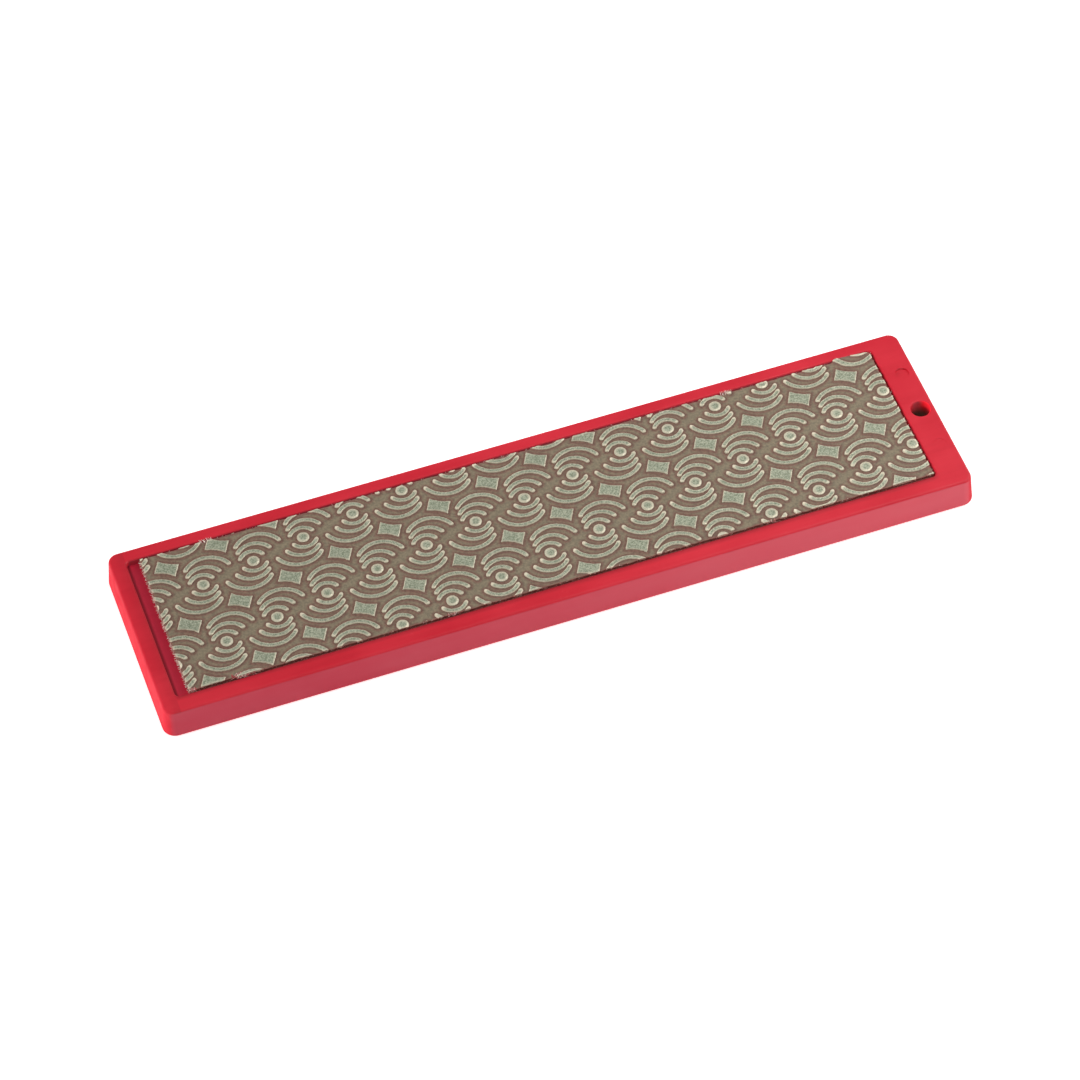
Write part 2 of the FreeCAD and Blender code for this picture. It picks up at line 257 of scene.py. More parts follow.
def fray(piece):
    """Lets the cut edge wander as the blade and the weave left it, all layers alike."""
    mesh = piece.data
    flat = np.zeros(len(mesh.vertices) * 3)
    mesh.vertices.foreach_get("co", flat)
    points = flat.reshape(-1, 3) / MM
    inside = np.full(len(points), np.inf)
    for axis, place, sign, seed in SIDES:
        inward = (place - points[:, axis]) * sign
        inside = np.minimum(inside, inward)
        along = np.stack([points[:, 1 - axis], points[:, 2] * 0.5], -1)
        wander = 0.6 * noise(along, 0.9, seed) + 0.5 * noise(along, 0.28, seed + 40)
        points[:, axis] += sign * FRAY * wander * np.exp(-(inward / FRAY_REACH) ** 2)
    lift_back_edge(points)
    mesh.vertices.foreach_set("co", np.ravel(points * MM))
    add_attribute(mesh, "cut", 1 - ramp(inside, 0.0, FRAY_REACH))
    mesh.update()


# ---------------------------------------------------------------- abrasive islands

ACROSS = np.array((-1, -1, -0.9, -0.72, -0.4, 0, 0.4, 0.72, 0.9, 1, 1))  # over a stroke, foot to foot
DISC_SHARES = np.array((0.25, 0.45, 0.62, 0.76, 0.87, 0.95, 1.0, 1.0))   # a dot's rings, then its foot


def dots():
    """The middles of the lattice's cells that can reach the pad."""
    found = []
    for i in range(CELLS[0]):
        for j in range(CELLS[1]):
            x, y = FIRST_DOT + i * ROW_STEP + j * COLUMN_STEP
            near_x = PAD_LOW[0] - CELL_REACH < x < PAD_HIGH[0] + CELL_REACH
            near_y = PAD_LOW[1] - CELL_REACH < y < PAD_HIGH[1] + CELL_REACH
            if near_x and near_y:
                found.append((x, y))
    return np.array(found)


def ring_angles(ring):
    """Where a ring's upper stroke starts, at its right end, and where it stops."""
    radius, (x, _), right = RINGS[ring]
    return math.acos((right - x) / radius), math.acos((-LEFT_REACH - x) / radius)


def crown(edge):
    """Height of an island's top by closeness to its edge (1): plating builds up a rim, then rolls over."""
    rim = RIM_HEIGHT * ramp(edge, 0.15, 0.7)
    roll = ROLL_DROP * ramp(edge, 0.78, 1.0)
    return ISLAND_TOP - CROWN_DIP + rim - roll


def grit(points):
    """Height of the diamond grains standing in the nickel."""
    return 0.007 * noise(points, 0.1, 5) + 0.004 * noise(points, 0.21, 6)


def islands(name, copies, faces, edge, tip):
    """One mesh of every copy of an island; edge and tip are the same for each."""
    count, size = len(copies), len(copies[0])
    return make_mesh(name, np.concatenate(copies), repeated(faces, count, size),
                     rim=np.tile(edge.ravel(), count), tip=np.tile(tip, count))


def stroke_rows(length):
    """Rows of points along a stroke with round ends: place along it, and half width there."""
    lean = np.radians(np.linspace(10, 75, 4))
    past_end = HALF_LINE * np.cos(lean)
    narrowed = HALF_LINE * np.sin(lean)
    line = np.linspace(0, length, round(length / STEP))
    along = np.concatenate([-past_end, line, (length + past_end)[::-1]])
    width = np.concatenate([narrowed, np.full(len(line), HALF_LINE), narrowed[::-1]])
    return along, width


def ragged(points, seed):
    """How much wider or narrower a stroke's edge is at each point."""
    return 1 + 0.09 * noise(points, 0.2, seed) + 0.05 * noise(points, 0.5, seed + 1)


def make_arcs(name, ring, turn):
    """Every stroke of one ring, a band along its arc; turn is 1 for the upper ones, -1 for the lower."""
    radius, centre, _ = RINGS[ring]
    first, last = ring_angles(ring)
    length = radius * (last - first)
    along, width = stroke_rows(length)
    angle = first + along / radius
    outward = np.stack([np.cos(angle), np.sin(angle)], -1)
    middle = np.array(centre) + radius * outward
    to_end = 1 - ramp(np.minimum(along, length - along), -0.05, 0.3)
    edge = np.maximum(np.abs(ACROSS)[None, :], to_end[:, None] * 0.8)
    # share of painted highlight near the stroke's ends
    at_first, at_last = TIP_HIGHLIGHT[turn]
    tip = at_first * (1 - ramp(along, 0, TIP_REACH)) + at_last * (1 - ramp(length - along, 0, TIP_REACH))

    copies = []
    for dot in dots():
        line = dot + turn * middle
        uneven = np.where(ACROSS < 0, ragged(line, 21)[:, None], ragged(line, 23)[:, None])
        side = uneven * width[:, None] * ACROSS
        flat = line[:, None, :] + turn * side[:, :, None] * outward[:, None, :]
        height = crown(edge) + grit(flat)
        height[:, [0, -1]] = RESIN_TOP - SUNK
        copies.append(np.dstack([flat, height]).reshape(-1, 3))
    faces = tube_faces(len(along), len(ACROSS))
    return islands(name, copies, faces, edge, np.repeat(tip, len(ACROSS)))


def make_dots(name):
    """The round islands, each a disc of rings round its middle."""
    around = 52
    angle = np.linspace(0, 2 * math.pi, around, endpoint=False)
    circle = np.stack([np.cos(angle), np.sin(angle)], -1)
    edge = np.repeat(DISC_SHARES[:, None], around, 1)
    copies = []
    for dot in dots():
        uneven = 1 + 0.035 * noise(dot + circle * DOT_RADIUS, 0.22, 31)
        flat = dot + DOT_RADIUS * (edge * uneven)[:, :, None] * circle
        height = crown(ramp(edge, 0.2, 1.0)) + grit(flat)
        height[-1] = RESIN_TOP - SUNK
        copies.append(np.dstack([flat, height]).reshape(-1, 3))
    return islands(name, copies, tube_faces(len(DISC_SHARES), around), edge, np.zeros(edge.size))


def hollow_side(start, end, share):
    """Points along a lozenge's long side, which sags towards its middle."""
    chord = end - start
    inward = np.array((-chord[1], chord[0])) / np.linalg.norm(chord)
    if np.dot(inward, (start + end) / 2) > 0:
        inward = -inward
    sag = LOZENGE_SAG * 4 * share * (1 - share)
    return start + chord * share[:, None] + inward * sag[:, None]


def make_lozenges(name):
    """The four-cornered islands: a patch between two hollow sides, with its border folded down."""
    wide, deep = 30, 24
    border_width = 0.3
    u, v = np.linspace(0, 1, wide), np.linspace(0, 1, deep)
    back = hollow_side(LOZENGE_TIP, LOZENGE_SIDE, u)
    front = hollow_side(-LOZENGE_SIDE, -LOZENGE_TIP, u)
    patch = front[None] * (1 - v)[:, None, None] + back[None] * v[:, None, None]
    from_ends = np.minimum(u, 1 - u)[None, :] * np.linalg.norm(LOZENGE_SIDE - LOZENGE_TIP)
    from_sides = np.minimum(v, 1 - v)[:, None] * np.linalg.norm(LOZENGE_SIDE + LOZENGE_TIP)
    edge = 1 - np.clip(np.minimum(from_ends, from_sides) / border_width, 0, 1)
    border, faces = closed_grid(wide, deep)

    copies = []
    for dot in dots():
        flat = dot + LOZENGE_MIDDLE + patch
        uneven = np.dstack([noise(flat, 0.22, 33), noise(flat, 0.22, 34)])
        flat = flat + uneven * 0.035 * edge[..., None] ** 2
        height = crown(edge) + grit(flat)
        top = np.dstack([flat, height]).reshape(-1, 3)
        foot = top[border].copy()
        foot[:, 2] = RESIN_TOP - SUNK
        copies.append(np.concatenate([top, foot]))
    edge_and_foot = np.concatenate([edge.ravel(), np.ones(len(border))])
    return islands(name, copies, faces, edge_and_foot, np.zeros(edge_and_foot.size))


# ---------------------------------------------------------------- resin between the islands

def arc_distance(points, ring):
    """Distance from points, measured from a dot, to the edge of that ring's upper stroke."""
    radius, centre, _ = RINGS[ring]
    first, last = ring_angles(ring)
    from_centre = points - np.array(centre)
    angle = np.arctan2(from_centre[:, 1], from_centre[:, 0])
    to_line = np.abs(np.hypot(from_centre[:, 0], from_centre[:, 1]) - radius)
    to_ends = np.full(len(points), np.inf)
    for place in (first, last):
        end = np.array(centre) + radius * np.array((math.cos(place), math.sin(place)))
        to_ends = np.minimum(to_ends, np.hypot(*(points - end).T))
    return np.where((angle >= first) & (angle <= last), to_line, to_ends) - HALF_LINE


def lozenge_distance(points):
    """Distance to a lozenge with straight sides, for points measured from its middle."""
    corners = (LOZENGE_TIP, LOZENGE_SIDE, -LOZENGE_TIP, -LOZENGE_SIDE)
    furthest = np.full(len(points), -np.inf)
    for i, start in enumerate(corners):
        chord = corners[(i + 1) % 4] - start
        outward = np.array((chord[1], -chord[0])) / np.linalg.norm(chord)
        if np.dot(outward, start) < 0:
            outward = -outward
        furthest = np.maximum(furthest, (points - start) @ outward)
    return furthest


def island_distance(points):
    """Distance from each point to the nearest island's edge."""
    basis = np.stack([ROW_STEP, COLUMN_STEP], -1)
    cell = np.round(np.linalg.solve(basis, (points - FIRST_DOT).T)).T
    nearest = np.full(len(points), np.inf)
    for i in (-1, 0, 1):
        for j in (-1, 0, 1):
            dot = FIRST_DOT + (cell + (i, j)) @ basis.T
            local = points - dot
            nearest = np.minimum(nearest, np.hypot(*local.T) - DOT_RADIUS)
            nearest = np.minimum(nearest, lozenge_distance(local - LOZENGE_MIDDLE))
            for ring in RINGS:
                nearest = np.minimum(nearest, arc_distance(local, ring))
                nearest = np.minimum(nearest, arc_distance(-local, ring))
    return nearest


def weave(points):
    """Plain weave from -1 to 1: crossing threads that pass over and under by turns."""
    x = points[..., 0] * math.pi / WEAVE_PITCH
    y = points[..., 1] * math.pi / WEAVE_PITCH
    over = np.sign(np.sin(x) * np.sin(y))
    return np.where(over > 0, np.abs(np.sin(x)), np.abs(np.sin(y))) * 2 - 1


def slab(name, low, high, step, relief):
    """A closed sheet with a fine top grid; relief gives its top's rise and its attributes."""
    wide = round((high[0] - low[0]) / step) + 1
    deep = round((high[1] - low[1]) / step) + 1
    x, y = np.meshgrid(np.linspace(low[0], high[0], wide), np.linspace(low[1], high[1], deep))
    flat = np.stack([x.ravel(), y.ravel()], -1)
    rise, values = relief(flat)
    top = np.column_stack([flat, high[2] + rise])
    border, faces = closed_grid(wide, deep)
    foot = top[border].copy()
    foot[:, 2] = low[2]
    filled = {key: np.concatenate([numbers, numbers[border]]) for key, numbers in values.items()}
    return make_mesh(name, np.concatenate([top, foot]), faces, **filled)


def resin_relief(points):
    """The resin climbs the islands' sides, and the weave shows through it."""
    highest = 0.012
    gap = island_distance(points)
    climb = 0.02 * (1 - ramp(gap, 0.0, 0.22))
    rise = climb - highest + 0.005 * weave(points) + 0.004 * noise(points, 0.3, 41)
    return np.minimum(rise, highest), {"gap": gap}


def cloth_relief(points):
    """The cloth's threads dip below the level of its CAD node, and never rise above it."""
    return np.minimum(0.02 * weave(points) - 0.02, 0), {}


# ---------------------------------------------------------------- cut threads

THREAD_TAPER = np.array((1, 1, 0.9, 0.75, 0.4))  # a thread's thickness from root to tip
THREAD_SIDES = 5
THREAD_SIZE = len(THREAD_TAPER) * THREAD_SIDES
DEEP_ROOT = 0.15         # a thread rooted further in than this starts on top of the resin


def thread_bands():
    """Where thread ends show: a close pale fringe at the left, sparser reddish hairs elsewhere.

    Each has its side, how many, first and last place along it, shortest and longest, how far in
    the roots start, and the reddest tint.
    """
    low, high = PAD_LOW, PAD_HIGH
    return (
        (0, 320, low[1], high[1], 0.1, 0.32, 0.1, 0.25),
        (1, 60, low[1], high[1], 0.08, 0.2, 0.1, 0.8),
        (2, 330, low[0], high[0], 0.08, 0.24, 0.1, 1.0),
        (2, 70, -41.0, -38.4, 0.25, 0.5, 0.55, 1.1),
        (2, 34, -46.1, -45.3, 0.2, 0.45, 0.3, 1.4),
        (2, 18, -15.0, -13.6, 0.2, 0.4, 0.3, 1.0),
        (2, 16, 24.4, 25.6, 0.2, 0.4, 0.3, 0.8),
        (3, 170, low[0], high[0], 0.08, 0.2, 0.1, 0.8),
        (3, 20, -38.8, -37.4, 0.2, 0.45, 0.2, 0.3),
        (3, 20, 26.4, 27.8, 0.2, 0.45, 0.2, 0.3),
    )


def thread(start, outward, along, length, drop, thickness):
    """One bent hair from the cloth's cut edge: its points as a thin tube."""
    share = np.linspace(0, 1, len(THREAD_TAPER))[:, None]
    path = start + outward * length * share + along * length * share ** 2 * 0.8
    path[:, 2] += drop * share[:, 0] ** 1.5
    angle = np.linspace(0, 2 * math.pi, THREAD_SIDES, endpoint=False)
    sideways = np.cross(outward, (0, 0, 1))
    ring = np.cos(angle)[:, None] * sideways + np.sin(angle)[:, None] * np.array((0, 0, 1))
    radius = thickness * THREAD_TAPER
    return (path[:, None, :] + radius[:, None, None] * ring[None]).reshape(-1, 3)


def make_threads(name):
    """Thread ends along the four cut edges, none of them higher than the islands."""
    draw = np.random.default_rng(17)
    points, tints = [], []
    for side, count, first, last, shortest, longest, inset, reddest in thread_bands():
        axis, place, sign, _ = SIDES[side]
        outward, along = np.zeros(3), np.zeros(3)
        outward[axis], along[1 - axis] = sign, 1
        for _ in range(count):
            start = np.zeros(3)
            root = draw.uniform(0.05, inset)
            start[axis] = place - sign * root
            start[1 - axis] = draw.uniform(first, last)
            start[2] = RESIN_TOP
            if root <= DEEP_ROOT:
                start[2] = draw.uniform(CLOTH_HIGH[2] - 0.1, RESIN_TOP - 0.02)
            length = draw.uniform(shortest, longest)
            if side == 0:
                drop = draw.uniform(-0.1, 0.1)
            else:
                drop = (ISLAND_TOP - 0.05 - start[2]) * min(1.0, 0.4 + 2.5 * length)
            bend = along * draw.uniform(-1, 1)
            thickness = draw.uniform(0.018, 0.034)
            points.append(thread(start, outward, bend, length + root * 0.8, drop, thickness))
            tints.append(np.full(THREAD_SIZE, draw.uniform(0, reddest)))
    faces = repeated(tube_faces(len(THREAD_TAPER), THREAD_SIDES), len(points), THREAD_SIZE)
    return make_mesh(name, np.concatenate(points), faces, tint=np.concatenate(tints))


# ---------------------------------------------------------------- colours

def from_srgb(red, green, blue):
    """Linear colour, with alpha, of an sRGB one given in 0 to 255."""
    linear = [((c / 255 + 0.055) / 1.055) ** 2.4 if c > 10 else c / 255 / 12.92 for c in (red, green, blue)]
    return (*linear, 1.0)


RED_DEEP = from_srgb(208, 32, 50)
RED_BRIGHT = from_srgb(220, 44, 60)
RED_FLOW = from_srgb(186, 14, 34)
RED_SCUFF = from_srgb(226, 72, 84)
# Painted reflection: pale pinks for the long sides, standing in for the white floor mirrored in them.
SIDE_REFLECTION_LEFT = from_srgb(192, 56, 74)
SIDE_REFLECTION_RIGHT = from_srgb(214, 84, 96)
SIDE_REFLECTION_CLOUD = from_srgb(206, 84, 98)
# Painted shade for the rims beside the pad.
PAINTED_SHADE = from_srgb(84, 18, 26)
# Pinker tint painted on the bare recess floor.
RECESS_PINK = from_srgb(232, 52, 96)
CORNER_SHADE = from_srgb(92, 8, 18)
# Painted shade deep in the hanging hole.
HOLE_SHADE = from_srgb(74, 52, 18)
# Painted light: the red glow on the hole's wall.
PAINTED_GLOW = from_srgb(255, 30, 36)
SAGE_DARK = from_srgb(134, 142, 120)
SAGE_LIGHT = from_srgb(196, 199, 175)
# Painted highlight for the islands' edges and ends.
ISLAND_HIGHLIGHT = from_srgb(246, 234, 208)
LANE_DARK = from_srgb(119, 108, 89)
LANE_LIGHT = from_srgb(148, 135, 111)
GAP_DARK = from_srgb(107, 79, 67)
GAP_LIGHT = from_srgb(135, 103, 88)
RESIN_CUT = from_srgb(150, 92, 84)
CLOTH_DARK = from_srgb(160, 110, 100)
CLOTH_LIGHT = from_srgb(226, 196, 182)
HAIR_DARK = from_srgb(236, 204, 192)
HAIR_LIGHT = from_srgb(255, 244, 232)
RED_HAIR_DARK = from_srgb(170, 44, 56)
RED_HAIR_LIGHT = from_srgb(214, 96, 100)
FILM_DARK = from_srgb(96, 30, 34)
FILM_LIGHT = from_srgb(140, 58, 56)
WHITE = (1, 1, 1, 1)
FLOOR_WHITE = (0.95, 0.95, 0.95, 1)


# ---------------------------------------------------------------- shader nodes

def shader(name):
    """A new material with a Principled shader; returns it, its node tree and the shader."""
    material = bpy.data.materials.new(name)
    material.use_nodes = True
    tree = material.node_tree
    return material, tree, tree.nodes["Principled BSDF"]


def feed(tree, socket, value):
    """Links a socket to another one, or sets it to a value."""
    if isinstance(value, bpy.types.NodeSocket):
        tree.links.new(value, socket)
    else:
        socket.default_value = value


def add_node(tree, kind, **inputs):
    """A new node. set_NAME sets a property, in0, in1 and so on feed an input by place, others by name."""
    made = tree.nodes.new(kind)
    for key, value in inputs.items():
        if key.startswith("set_"):
            setattr(made, key[4:], value)
    for key, value in inputs.items():
        if key.startswith("in") and key[2:].isdigit():
            feed(tree, made.inputs[int(key[2:])], value)
        elif not key.startswith("set_"):
            feed(tree, made.inputs[key.replace("_", " ")], value)
    return made


def own_coordinates(tree):
    """The object's own coordinates, in metres of the part's frame."""
    return add_node(tree, "ShaderNodeTexCoord").outputs["Object"]


def carried(tree, name):
    """A float that the mesh carries."""
    return add_node(tree, "ShaderNodeAttribute", set_attribute_name=name).outputs["Fac"]


def pattern(tree, where, scale, detail=2.0, roughness=0.5):
    """Noise over the coordinates given; scale is in features per millimetre."""
    made = add_node(tree, "ShaderNodeTexNoise", Vector=where, Scale=scale / MM, Detail=detail,
                    Roughness=roughness)
    return made.outputs[0]


def drawn_out(tree, where, shrink):
    """The same coordinates with X shrunk, so that a pattern draws out along the plate."""
    return add_node(tree, "ShaderNodeMapping", Vector=where, Scale=(shrink, 1, 1)).outputs[0]


def spread(tree, value, low, high, to_low=0.0, to_high=1.0):
    """Maps a value from one range to another, smoothly and clamped."""
    made = add_node(tree, "ShaderNodeMapRange", set_interpolation_type="SMOOTHSTEP", in0=value,
                    in1=low, in2=high, in3=to_low, in4=to_high)
    return made.outputs[0]


def fade(tree, length, low, high, to_low=0.0, to_high=1.0):
    """Spread of a length, with its range in millimetres."""
    return spread(tree, length, low * MM, high * MM, to_low, to_high)


def mixed(tree, share, first, second):
    """A colour between two others."""
    made = tree.nodes.new("ShaderNodeMix")
    made.data_type = "RGBA"
    feed(tree, made.inputs[0], share)
    feed(tree, made.inputs[6], first)
    feed(tree, made.inputs[7], second)
    return made.outputs[2]


def arithmetic(tree, operation, first, second=0.0):
    """One Math node."""
    return add_node(tree, "ShaderNodeMath", set_operation=operation, in0=first, in1=second).outputs[0]


def times(tree, product, *factors):
    """The product of masks and numbers."""
    for factor in factors:
        product = arithmetic(tree, "MULTIPLY", product, factor)
    return product


def bumps(tree, main, height, strength, distance):
    """Relief in the shading; distance is in millimetres."""
    made = add_node(tree, "ShaderNodeBump", Height=height, Strength=strength, Distance=distance * MM)
    tree.links.new(made.outputs[0], main.inputs["Normal"])


def paint(tree, main, colour, roughness):
    """Gives the shader its colour and its roughness."""
    tree.links.new(colour, main.inputs["Base Color"])
    tree.links.new(roughness, main.inputs["Roughness"])


# ---------------------------------------------------------------- the plate's red plastic

def moulded_red(tree, where, cloud):
    """Even red with faint flow marks along the plate and pale scuffs."""
    body = mixed(tree, cloud, RED_DEEP, RED_BRIGHT)
    flow = spread(tree, pattern(tree, drawn_out(tree, where, 0.1), 1.1, detail=4), 0.35, 0.75)
    body = mixed(tree, times(tree, flow, 0.2), body, RED_FLOW)
    scuff = spread(tree, pattern(tree, where, 0.9, detail=6, roughness=0.7), 0.62, 0.78, 0.0, 0.35)
    return mixed(tree, scuff, body, RED_SCUFF)


def sides_painted_reflection(tree, body, cloud, place, upright):
    """Painted reflection: the two long sides are painted pale and pink for the white floor mirrored in
    them, more so towards the hole.
    """
    reflected_pink = mixed(tree, fade(tree, place["X"], -50, 50), SIDE_REFLECTION_LEFT, SIDE_REFLECTION_RIGHT)
    reflected_pink = mixed(tree, times(tree, cloud, 0.25), reflected_pink, SIDE_REFLECTION_CLOUD)
    return mixed(tree, spread(tree, upright, 0.75, 1.0), body, reflected_pink)


def shaded_rim(tree, body, place, facing_up):
    """Painted shade: the front rim darker along the pad and towards its left end, and the left rim darker
    towards the recess.
    """
    towards_pad = fade(tree, place["Y"], RECESS_FRONT - 0.9, RECESS_FRONT - 0.05)
    on_front_rim = fade(tree, place["Y"], -12.3, -11.5)
    to_left_end = fade(tree, place["X"], -42, 0, 0.14, 0.0)
    front = arithmetic(tree, "MAXIMUM", towards_pad, times(tree, on_front_rim, to_left_end))
    before_pad = fade(tree, place["Y"], RECESS_FRONT + 0.1, RECESS_FRONT + 0.3, 0.46, 0.0)
    past_left_end = fade(tree, place["X"], RECESS_LEFT - 0.55, RECESS_LEFT + 0.45)
    before_right_end = fade(tree, place["X"], RECESS_RIGHT - 0.6, RECESS_RIGHT + 0.4, 1.0, 0.0)
    front = times(tree, front, before_pad, past_left_end, before_right_end)
    # painted shade on the left rim, darker towards the recess
    film = fade(tree, place["X"], -49.3, -48.0, 0.0, 0.16)
    left_rim = fade(tree, place["X"], RECESS_LEFT - 0.05, RECESS_LEFT + 0.05, 1.0, 0.0)
    darkening = arithmetic(tree, "MAXIMUM", front, times(tree, film, left_rim))
    darkening = times(tree, darkening, spread(tree, facing_up, 0.15, 0.4))
    return mixed(tree, darkening, body, PAINTED_SHADE)


def recess_floor(tree, body, place):
    """The bare floor left of the pad: painted pinker, and painted shade in the corner under the left wall.
    """
    below_rim = fade(tree, place["Z"], 3.2, 3.6, 1.0, 0.0)
    past_wall = fade(tree, place["X"], RECESS_LEFT - 0.15, RECESS_LEFT - 0.05)
    off_middle = arithmetic(tree, "ABSOLUTE", place["Y"])
    between_rims = fade(tree, off_middle, 11.0, 11.3, 1.0, 0.0)
    bare = times(tree, below_rim, past_wall, between_rims)
    pinker = fade(tree, place["X"], PAD_LOW[0] + 0.7, PAD_LOW[0] + 1.2, 0.4, 0.0)
    shade = fade(tree, place["X"], RECESS_LEFT + 0.2, RECESS_LEFT + 0.6, 0.7, 0.0)
    body = mixed(tree, times(tree, bare, pinker), body, RECESS_PINK)
    return mixed(tree, times(tree, bare, shade), body, CORNER_SHADE)


def inside_hole(tree, place):
    """Mask of the hanging hole and its rounded mouths."""
    seen_from_above = add_node(tree, "ShaderNodeCombineXYZ", X=place["X"], Y=place["Y"]).outputs[0]
    from_hole = add_node(tree, "ShaderNodeVectorMath", set_operation="DISTANCE", in0=seen_from_above,
                         in1=HOLE_MIDDLE * MM).outputs["Value"]
    return fade(tree, from_hole, 1.2, 1.3, 1.0, 0.0)


def shaded_hole(tree, body, place, in_hole):
    """Painted shade: the hole's wall painted dark olive, darker lower down."""
    deep = fade(tree, place["Z"], 1.6, 3.2, 0.95, 0.0)
    return mixed(tree, times(tree, in_hole, deep), body, HOLE_SHADE)


def painted_hole_light(tree, main, place, in_hole):
    """Painted light: the hole's wall right of the middle glows near the top, a painted lit crescent."""
    right_side = fade(tree, place["X"], HOLE_MIDDLE.x + 0.1, HOLE_MIDDLE.x + 1.1)
    near_mouth = fade(tree, place["Z"], 2.7, 3.7)
    glow = times(tree, right_side, near_mouth, in_hole, 0.42)
    tree.links.new(glow, main.inputs["Emission Strength"])
    main.inputs["Emission Color"].default_value = PAINTED_GLOW


def red_plastic():
    """Satin injection moulding with fine mould grain; its upright walls are rougher than its top."""
    material, tree, main = shader("red_plastic")
    where = own_coordinates(tree)
    place = add_node(tree, "ShaderNodeSeparateXYZ", Vector=where).outputs
    normal = add_node(tree, "ShaderNodeNewGeometry").outputs["Normal"]
    facing = add_node(tree, "ShaderNodeSeparateXYZ", Vector=normal).outputs
    facing_up = arithmetic(tree, "ABSOLUTE", facing["Z"])
    facing_front = arithmetic(tree, "ABSOLUTE", facing["Y"])
    cloud = spread(tree, pattern(tree, where, 0.09, detail=3), 0.3, 0.7)
    in_hole = inside_hole(tree, place)

    body = moulded_red(tree, where, cloud)
    body = sides_painted_reflection(tree, body, cloud, place, facing_front)
    body = shaded_rim(tree, body, place, facing_up)
    body = recess_floor(tree, body, place)
    body = shaded_hole(tree, body, place, in_hole)
    painted_hole_light(tree, main, place, in_hole)

    satin = spread(tree, pattern(tree, drawn_out(tree, where, 0.2), 0.6, detail=4), 0.3, 0.7, 0.38, 0.54)
    wall = spread(tree, facing_up, 0.1, 0.7, 0.36, 0.0)
    paint(tree, main, body, arithmetic(tree, "ADD", satin, wall))
    main.inputs["Specular IOR Level"].default_value = 0.3
    main.inputs["IOR"].default_value = 1.5
    bumps(tree, main, pattern(tree, where, 5.0, detail=3), strength=0.15, distance=0.02)
    return material


# ---------------------------------------------------------------- the pad's materials

def nickel_diamond():
    """Grey-green nickel full of diamond grit, with painted highlights: paler along the edges, at the
    strokes' ends and along the pad's cut edge.
    """
    material, tree, main = shader("nickel_diamond")
    where = own_coordinates(tree)
    fine = spread(tree, pattern(tree, where, 6.0, detail=3, roughness=0.7), 0.38, 0.64)
    sage = mixed(tree, fine, SAGE_DARK, SAGE_LIGHT)
    highlight = spread(tree, carried(tree, "rim"), 0.4, 0.85, 0.0, 0.6)
    highlight = arithmetic(tree, "ADD", highlight, times(tree, carried(tree, "tip"), 0.3))
    highlight = arithmetic(tree, "ADD", highlight, times(tree, carried(tree, "cut"), 0.5))
    colour = mixed(tree, highlight, sage, ISLAND_HIGHLIGHT)
    paint(tree, main, colour, spread(tree, fine, 0.0, 1.0, 0.6, 0.35))
    main.inputs["Metallic"].default_value = 0.3
    bumps(tree, main, pattern(tree, where, 9.0, detail=2), strength=0.5, distance=0.03)
    return material


def resin():
    """Matt brown filler: greenish taupe in the lanes, redder in the narrow gaps beside the islands."""
    material, tree, main = shader("resin")
    where = own_coordinates(tree)
    fine = spread(tree, pattern(tree, where, 3.5, detail=4, roughness=0.65), 0.3, 0.7)
    lane = mixed(tree, fine, LANE_DARK, LANE_LIGHT)
    beside = mixed(tree, fine, GAP_DARK, GAP_LIGHT)
    colour = mixed(tree, spread(tree, carried(tree, "gap"), 0.1, 0.6), beside, lane)
    at_cut = spread(tree, carried(tree, "cut"), 0.3, 1.0, 0.0, 0.5)
    colour = mixed(tree, at_cut, colour, RESIN_CUT)
    paint(tree, main, colour, spread(tree, fine, 0.0, 1.0, 0.55, 0.75))
    bumps(tree, main, pattern(tree, where, 7.0, detail=3), strength=0.3, distance=0.02)
    return material


def cloth():
    """Woven polyester backing, pale pink where its cut threads show."""
    material, tree, main = shader("cloth")
    fine = spread(tree, pattern(tree, own_coordinates(tree), 5.0, detail=4, roughness=0.65), 0.3, 0.7)
    colour = mixed(tree, fine, CLOTH_DARK, CLOTH_LIGHT)
    paint(tree, main, colour, spread(tree, fine, 0.0, 1.0, 0.7, 0.9))
    bumps(tree, main, fine, strength=0.4, distance=0.03)
    return material


def threads():
    """Cut polyester hairs, from pale pink to the red that wore off the plate."""
    material, tree, main = shader("threads")
    fine = spread(tree, pattern(tree, own_coordinates(tree), 6.0, detail=3), 0.3, 0.7)
    pale = mixed(tree, fine, HAIR_DARK, HAIR_LIGHT)
    red = mixed(tree, fine, RED_HAIR_DARK, RED_HAIR_LIGHT)
    colour = mixed(tree, spread(tree, carried(tree, "tint"), 0.1, 0.9), pale, red)
    paint(tree, main, colour, spread(tree, fine, 0.0, 1.0, 0.5, 0.8))
    return material


def adhesive():
    """Dull red-brown film, mottled with dust and small bubbles."""
    material, tree, main = shader("adhesive")
    fine = spread(tree, pattern(tree, own_coordinates(tree), 2.5, detail=4, roughness=0.65), 0.35, 0.7)
    colour = mixed(tree, fine, FILM_DARK, FILM_LIGHT)
    paint(tree, main, colour, spread(tree, fine, 0.0, 1.0, 0.4, 0.7))
    bumps(tree, main, fine, strength=0.3, distance=0.02)
    return material


# ---------------------------------------------------------------- the pieces

def cover(node, material):
    """Gives a CAD node that stays in view its material."""
    piece = frame["nodes"][node]
    piece.data.materials.clear()
    piece.data.materials.append(material)


def build_islands():
    """Plated islands in place of the eight CAD nodes of islands, cut off at the pad's edge."""
    metal = nickel_diamond()
    pieces = {
        "abrasive_dots": make_dots("plated_dots"),
        "abrasive_lozenges": make_lozenges("plated_lozenges"),
    }
    for ring in RINGS:
        for place, turn in (("upper", 1), ("lower", -1)):
            pieces[f"{ring}_arcs_{place}"] = make_arcs(f"plated_{ring}_arcs_{place}", ring, turn)
    for node, piece in pieces.items():
        clip_to_pad(piece)
        fray(piece)
        smooth(piece)
        put_on(piece, metal, "nickel_diamond", node)


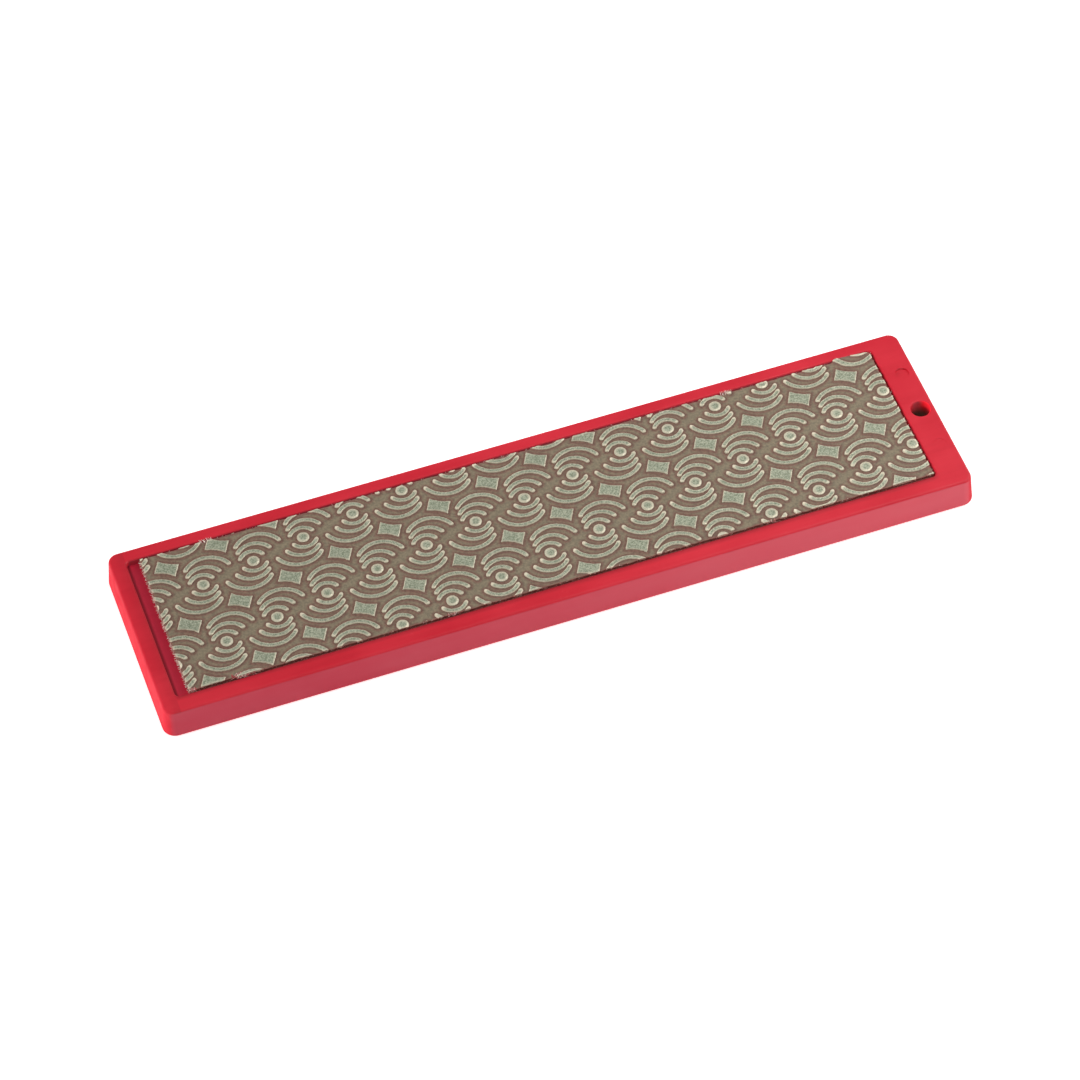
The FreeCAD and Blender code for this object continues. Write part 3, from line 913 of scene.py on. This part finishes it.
def build_layers():
    """The resin and the cloth under it, with the cloth's cut threads."""
    filler = slab("resin_surface", PAD_LOW, PAD_HIGH, RESIN_STEP, resin_relief)
    fray(filler)
    smooth(filler)
    put_on(filler, resin(), "resin", "resin_fill")

    backing = slab("woven_backing", CLOTH_LOW, CLOTH_HIGH, CLOTH_STEP, cloth_relief)
    fray(backing)
    smooth(backing)
    put_on(backing, cloth(), "cloth", "backing_cloth")

    hairs = make_threads("frayed_threads")
    smooth(hairs)
    put_on(hairs, threads(), "cloth")


# ---------------------------------------------------------------- studio

CAMERA_AZIMUTH = -17.586     # degrees
CAMERA_ELEVATION = 51.136
CAMERA_ROLL = -2.26
CAMERA_DISTANCE = 511.65
CAMERA_AIM = Vector((-1.306, -3.107, 4.0))
CAMERA_LENS = 145.98
CAMERA_SENSOR = 36
FLOOR_HALF = 1500
FLOOR_GAP = 0.02
WORLD_STRENGTH = 0.27
SOFTBOXES = (  # name, azimuth and elevation in degrees, distance and side in metres, watts, mirrored
    ("softbox_left", -105, 19, 1.4, 1.0, 16.6, False),
    ("softbox_right", 95, 51, 0.25, 0.2, 0.335, True),
    ("softbox_front", 62, 14, 0.25, 0.1, 0.055, True),
    ("softbox_top", 20, 75, 1.2, 0.8, 1.2, True),
)


def studio_floor():
    """Plain pale floor, brightened towards white."""
    material, _, main = shader("studio_floor")
    main.inputs["Base Color"].default_value = FLOOR_WHITE
    main.inputs["Roughness"].default_value = 0.8
    main.inputs["Emission Color"].default_value = WHITE
    main.inputs["Emission Strength"].default_value = 0.6
    return material


def add_floor():
    """A floor just under the plate."""
    corners = ((-1, -1), (1, -1), (1, 1), (-1, 1))
    points = [(x * FLOOR_HALF, y * FLOOR_HALF, PLATE_FOOT - FLOOR_GAP) for x, y in corners]
    floor = make_mesh("studio_floor", points, [(0, 1, 2, 3)])
    floor.data.materials.append(studio_floor())


def direction(azimuth, elevation):
    """Unit vector from the object towards a viewer at that azimuth and elevation, in degrees."""
    turn, rise = math.radians(azimuth), math.radians(elevation)
    return Vector((math.sin(turn) * math.cos(rise), -math.cos(turn) * math.cos(rise), math.sin(rise)))


def add_camera():
    """The camera stands at the photograph's angle, a little rolled."""
    outward = direction(CAMERA_AZIMUTH, CAMERA_ELEVATION)
    data = bpy.data.cameras.new("camera")
    data.lens = CAMERA_LENS
    data.sensor_width = CAMERA_SENSOR
    data.clip_start = 0.01
    camera = bpy.data.objects.new("camera", data)
    camera.location = (CAMERA_AIM + outward * CAMERA_DISTANCE) * MM
    roll = Quaternion((0, 0, 1), math.radians(CAMERA_ROLL))
    camera.rotation_mode = "QUATERNION"
    camera.rotation_quaternion = outward.to_track_quat("Z", "Y") @ roll
    bpy.context.scene.collection.objects.link(camera)
    bpy.context.scene.camera = camera


def add_softbox(name, azimuth, elevation, distance, side, power, mirrored):
    """A square softbox facing the object; one that isn't mirrored stays out of the reflections."""
    data = bpy.data.lights.new(name, "AREA")
    data.shape = "SQUARE"
    data.size = side
    data.energy = power
    lamp = bpy.data.objects.new(name, data)
    lamp.visible_glossy = mirrored
    outward = direction(azimuth, elevation)
    lamp.location = outward * distance
    lamp.rotation_mode = "QUATERNION"
    lamp.rotation_quaternion = outward.to_track_quat("Z", "Y")
    bpy.context.scene.collection.objects.link(lamp)


def add_world():
    """Even white light from all round, and plain colours in the render."""
    world = bpy.data.worlds.new("studio")
    world.use_nodes = True
    background = world.node_tree.nodes["Background"]
    background.inputs["Color"].default_value = WHITE
    background.inputs["Strength"].default_value = WORLD_STRENGTH
    bpy.context.scene.world = world
    bpy.context.scene.view_settings.view_transform = "Standard"
    bpy.context.scene.view_settings.look = "None"


add_floor()
add_camera()
for softbox in SOFTBOXES:
    add_softbox(*softbox)
add_world()
cover("backing_plate", red_plastic())
build_islands()
build_layers()
cover("adhesive_film", adhesive())
